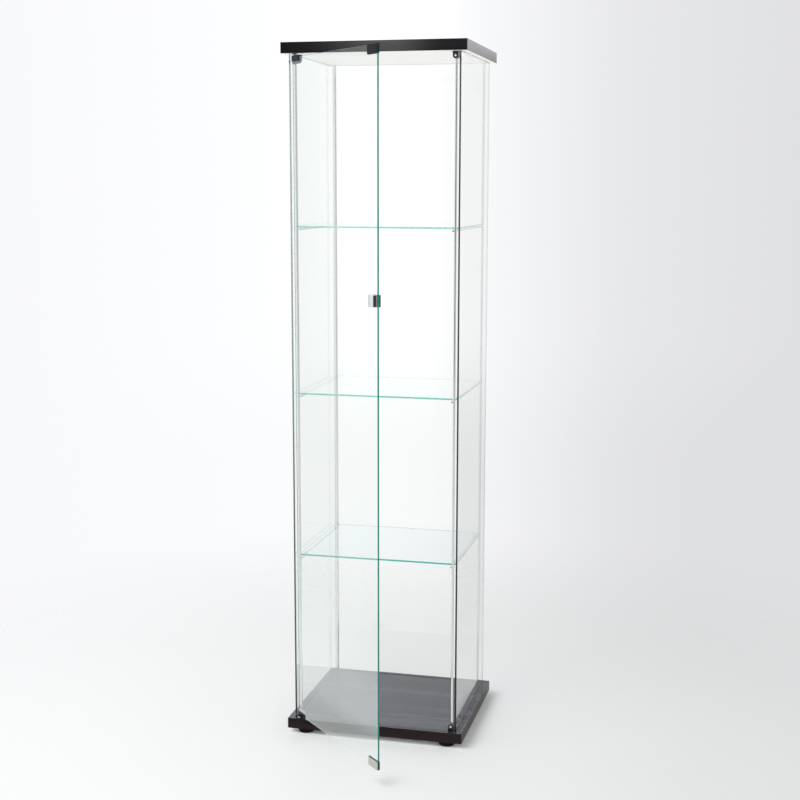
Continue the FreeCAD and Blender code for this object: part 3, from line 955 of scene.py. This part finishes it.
# %% [markdown]
# ## Turned shapes
#
# A round piece can be cut from a cylinder and bevelled, but it is easier to draw as half a
# profile and to spin round its axis. Blender's Screw modifier spins a profile too; a helper
# that sets the points itself closes the ring without a seam.

# %% Turned shapes
def spun(profile, axis, steps):
    """A closed profile of radius and height, spun round an upright axis."""
    shape = bmesh.new()
    rings = []
    for step in range(steps):
        angle = 2 * math.pi * step / steps
        way = Vector((math.cos(angle), math.sin(angle), 0))
        rings.append([shape.verts.new(axis + way * r + Vector((0, 0, z))) for r, z in profile])
    for step, here in enumerate(rings):
        there = rings[(step + 1) % steps]
        for i in range(len(profile)):
            j = (i + 1) % len(profile)
            shape.faces.new((here[i], there[i], there[j], here[j]))
    bmesh.ops.recalc_face_normals(shape, faces=shape.faces)
    return shape


print("turning helper ready")


# %% [markdown]
# ## Feet
#
# The four feet are black discs with a rounded lower edge, turned from one profile. It follows
# the node, and adds the small chamfer at the top and the two shallow rings that keep the foot
# from sliding.

# %% Feet
foot_radius = 19 * MM
foot_height = 12 * MM
foot_round = 3 * MM
foot_chamfer = 0.5 * MM
recess_radius = 5 * MM
recess_depth = 8 * MM
hole_radius = 2.2 * MM
groove_radii = (9 * MM, 12 * MM)
groove_half = 0.5 * MM
groove_depth = 0.4 * MM
round_steps = 8
foot_steps = 64


def foot_profile():
    """Half a section of a foot, from the rim of its recess round the outside to its screw hole."""
    points = [(recess_radius, 0.0)]
    for centre in groove_radii:
        points += [(centre - groove_half, 0.0), (centre, groove_depth), (centre + groove_half, 0.0)]
    for step in range(round_steps + 1):
        angle = math.radians(90 * step / round_steps)
        radius = foot_radius - foot_round + foot_round * math.sin(angle)
        points.append((radius, foot_round * (1 - math.cos(angle))))
    points += [(foot_radius, foot_height - foot_chamfer), (foot_radius - foot_chamfer, foot_height)]
    points += [(hole_radius, foot_height), (hole_radius, recess_depth), (recess_radius, recess_depth)]
    return points


for node in [name for name in frame["nodes"] if name.startswith("foot_") and name != "foot_screws"]:
    low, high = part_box(node)
    axis = Vector(((low[0] + high[0]) / 2, (low[1] + high[1]) / 2, 0))
    foot = smooth(place(spun(foot_profile(), axis, foot_steps), node, "disc", [foot_plastic]))
    print(foot.name, "faces:", len(foot.data.polygons))


# %% [markdown]
# ## Frames, pads and fittings
#
# The posts and rungs are straight polished bars, and the fittings are small machined or
# moulded blocks. All of them are right in the frame as they stand, so they only need their
# edges eased by a width that suits the way they are made: a turned screw less, a moulded
# catch more. The list gives the start of each name, its finish and the width in millimetres.

# %% Frames, pads and fittings
ease_of = {
    "post_": (post_chrome, 0.3),
    "rung_": (rung_chrome, 0.5),
    "shelf_pads": (clear_pad, 0.4),
    "catch_": (catch_plastic, 0.8),
    "magnet_": (magnet_plating, 0.3),
    "pivot_bush": (bush_plastic, 0.2),
    "hinge_washer": (washer_plastic, 0.3),
    "hinge_clip": (clip_black, 0.6),
    "hinge_pad_lower": (hinge_pad, 0.25),
    # the upper hinge pad takes the shaded copy, with painted shade
    "hinge_pad_upper": (shaded_upper_pad, 0.25),
    "hinge_pin": (pin_steel, 0.4),
    "hinge_screws": (set_screw_steel, 0.2),
    "foot_screws": (screw_steel, 0.25),
    "handle_plate": (handle_chrome, 0.4),
    "base_screws": (screw_steel, 0.25),
    "top_screws": (screw_steel, 0.25),
    "screw_caps": (cap_plastic, 0.3),
    "strike_clip_lower": (strike_steel, 0.3),
    "strike_clip_upper": (strike_black, 0.3),
    "strike_pad": (strike_rubber, 0.12),
    "door_handle": (handle_chrome, 0.5),
    "handle_pads": (handle_rubber, 0.12),
    "handle_screw": (screw_steel, 0.25),
}
made = 0
for start, (material, width) in ease_of.items():
    for node in [name for name in frame["nodes"] if name.startswith(start)]:
        shape = copied(node)
        ease(shape, sharp_edges(shape), width * MM)
        smooth(place(shape, node, "eased", [material]))
        made += 1
print("fittings:", made)

# %% [markdown]
# ## Rubber strips
#
# The strips lie in the grooves of the boards and show only as a dark line beside the glass.
# Their shape in the frame is already the real one, so the nodes stay and only take a finish.

# %% Rubber strips
strips = [name for name in frame["nodes"] if "_strip_" in name]
for node in strips:
    slots = frame["nodes"][node].data.materials
    slots.clear()
    slots.append(strip_rubber)
print("strips:", len(strips))
